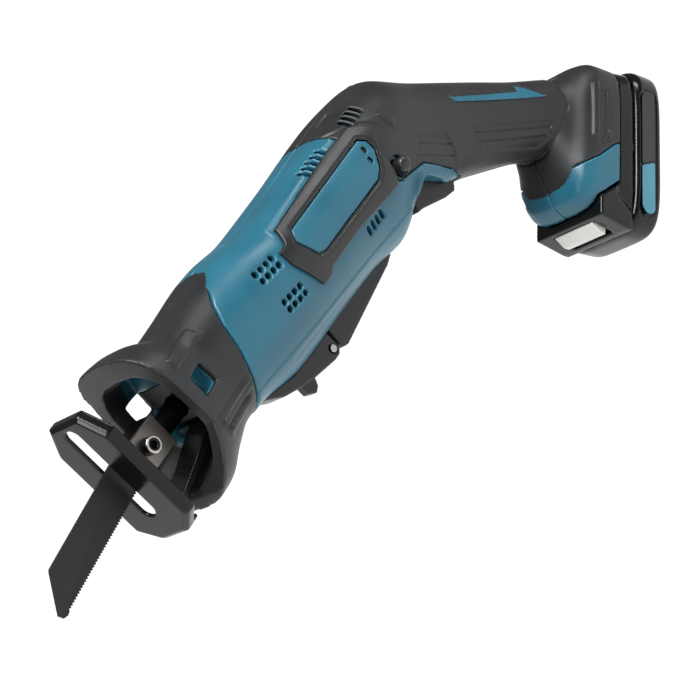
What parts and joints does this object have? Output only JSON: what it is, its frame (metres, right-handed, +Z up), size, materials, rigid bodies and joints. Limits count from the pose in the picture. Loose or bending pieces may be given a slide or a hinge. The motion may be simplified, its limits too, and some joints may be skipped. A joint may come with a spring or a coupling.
{
  "type": "reciprocating saw",
  "caption": "Cordless one-handed reciprocating saw: a round motor barrel with a flared rubber nose, tilting shoe and blade, an angled grip with a trigger, and a slide-on battery.",
  "frame": {"origin": "on the front face of the shoe, in the middle plane and below the blade slot, 25 mm under the stroke axis", "axes": "+X runs back along the stroke of the blade, which points to -X; +Z is up, away from the paddle; +Y is across the tool"},
  "size_m": [0.423, 0.0658, 0.1749],
  "materials": {
    "teal": "fine-grained moulded plastic, satin",
    "rubber": "matt soft rubber",
    "black_plastic": "moulded, satin",
    "gloss_plastic": "polished moulding",
    "ivory_plastic": "semi-gloss moulding",
    "steel": "brushed",
    "black_steel": "black finish",
    "blade_steel": "dark baked finish",
    "magnet": "sintered",
    "copper": "bare copper and varnish",
    "bronze": "sintered bronze",
    "lamp": "clear lens"
  },
  "bodies": {
    "casing": {"housing_left": "teal", "housing_right": "teal", "nose_cover": "rubber", "grip_left": "rubber", "grip_right": "rubber", "side_cover_left": "black_plastic", "side_cover_right": "black_plastic", "side_panel_left": "teal", "side_panel_right": "teal", "grip_inlay_left": "teal", "grip_inlay_right": "teal", "casing_screw_1": "black_steel", "casing_screw_2": "black_steel", "casing_screw_3": "black_steel", "casing_screw_4": "black_steel", "casing_screw_5": "black_steel", "casing_screw_6": "black_steel", "casing_screw_7": "black_steel", "motor_can": "steel", "magnet_upper": "magnet", "magnet_lower": "magnet", "motor_end_cap": "black_plastic", "brush_left": "magnet", "brush_right": "magnet", "front_bearing": "steel", "rear_bearing": "steel", "rod_bush": "bronze", "dust_plate": "steel", "shoe_pin": "steel", "work_light": "lamp", "paddle_pin": "steel", "paddle_bracket": "black_plastic", "switch_unit": "black_plastic", "terminal_block": "black_plastic"},
    "rotor": {"motor_shaft": "steel", "armature": "copper", "commutator": "copper", "cooling_fan": "black_plastic", "pinion": "steel"},
    "crank": {"crank_gear": "steel", "crank_shaft": "steel", "crank_pin": "steel"},
    "slider": {"reciprocating_rod": "steel", "clamp_block": "black_steel", "clamp_plate": "steel", "saw_blade": "blade_steel"},
    "bolt": {"clamp_bolt": "black_steel"},
    "front_shoe": {"shoe": "black_steel", "shoe_stay": "black_steel"},
    "paddle_lever": {"paddle": "rubber"},
    "paddle_catch": {"paddle_lock": "black_plastic"},
    "lock_off": {"lock_off_button": "black_plastic"},
    "trigger_lever": {"trigger": "rubber"},
    "battery": {"battery_lower_case": "gloss_plastic", "battery_upper_case": "gloss_plastic", "cell_1": "steel", "cell_2": "steel", "cell_3": "steel"},
    "release": {"battery_release_button": "ivory_plastic"}
  },
  "joints": [
    {"name": "motor_spin", "type": "hinge", "parent": "casing", "child": "rotor", "pos_m": [0.15, 0, 0.025], "axis": [1, 0, 0], "continuous": true},
    {"name": "crank_spin", "type": "hinge", "parent": "casing", "child": "crank", "pos_m": [0.084, 0, 0.011], "axis": [0, 0, 1], "continuous": true},
    {"name": "blade_stroke", "type": "slide", "parent": "casing", "child": "slider", "axis": [1, 0, 0], "range_m": [0, 0.013]},
    {"name": "clamp_screw", "type": "hinge", "parent": "slider", "child": "bolt", "pos_m": [0.0165, 0, 0.027], "axis": [0, 1, 0], "range_deg": [0, 360]},
    {"name": "shoe_tilt", "type": "hinge", "parent": "casing", "child": "front_shoe", "pos_m": [0.05, 0, 0.0105], "axis": [0, 1, 0], "range_deg": [0, 8]},
    {"name": "paddle_press", "type": "hinge", "parent": "casing", "child": "paddle_lever", "pos_m": [0.117, 0, -0.0145], "axis": [0, -1, 0], "range_deg": [0, 5], "stiffness_Nm_per_rad": 2, "springref_deg": -2.86},
    {"name": "paddle_lock_turn", "type": "hinge", "parent": "casing", "child": "paddle_catch", "pos_m": [0.0985, 0, -0.0135], "axis": [0, 1, 0], "range_deg": [-12, 12]},
    {"name": "lock_off_push", "type": "slide", "parent": "casing", "child": "lock_off", "axis": [0, 1, 0], "range_m": [0, 0.005], "stiffness_N_per_m": 150, "springref_m": -0.002},
    {"name": "trigger_pull", "type": "slide", "parent": "casing", "child": "trigger_lever", "axis": [0.6157, 0, 0.788], "range_m": [0, 0.005], "stiffness_N_per_m": 400, "springref_m": -0.002},
    {"name": "battery_slide", "type": "slide", "parent": "casing", "child": "battery", "axis": [-0.848, 0, -0.5299], "range_m": [0, 0.075]},
    {"name": "release_press", "type": "slide", "parent": "battery", "child": "release", "axis": [0.5299, 0, -0.848], "range_m": [0, 0.003], "stiffness_N_per_m": 300, "springref_m": -0.002}
  ],
  "couplings": [
    {"joint": "crank_spin", "follows": "motor_spin", "ratio": 0.35}
  ]
}
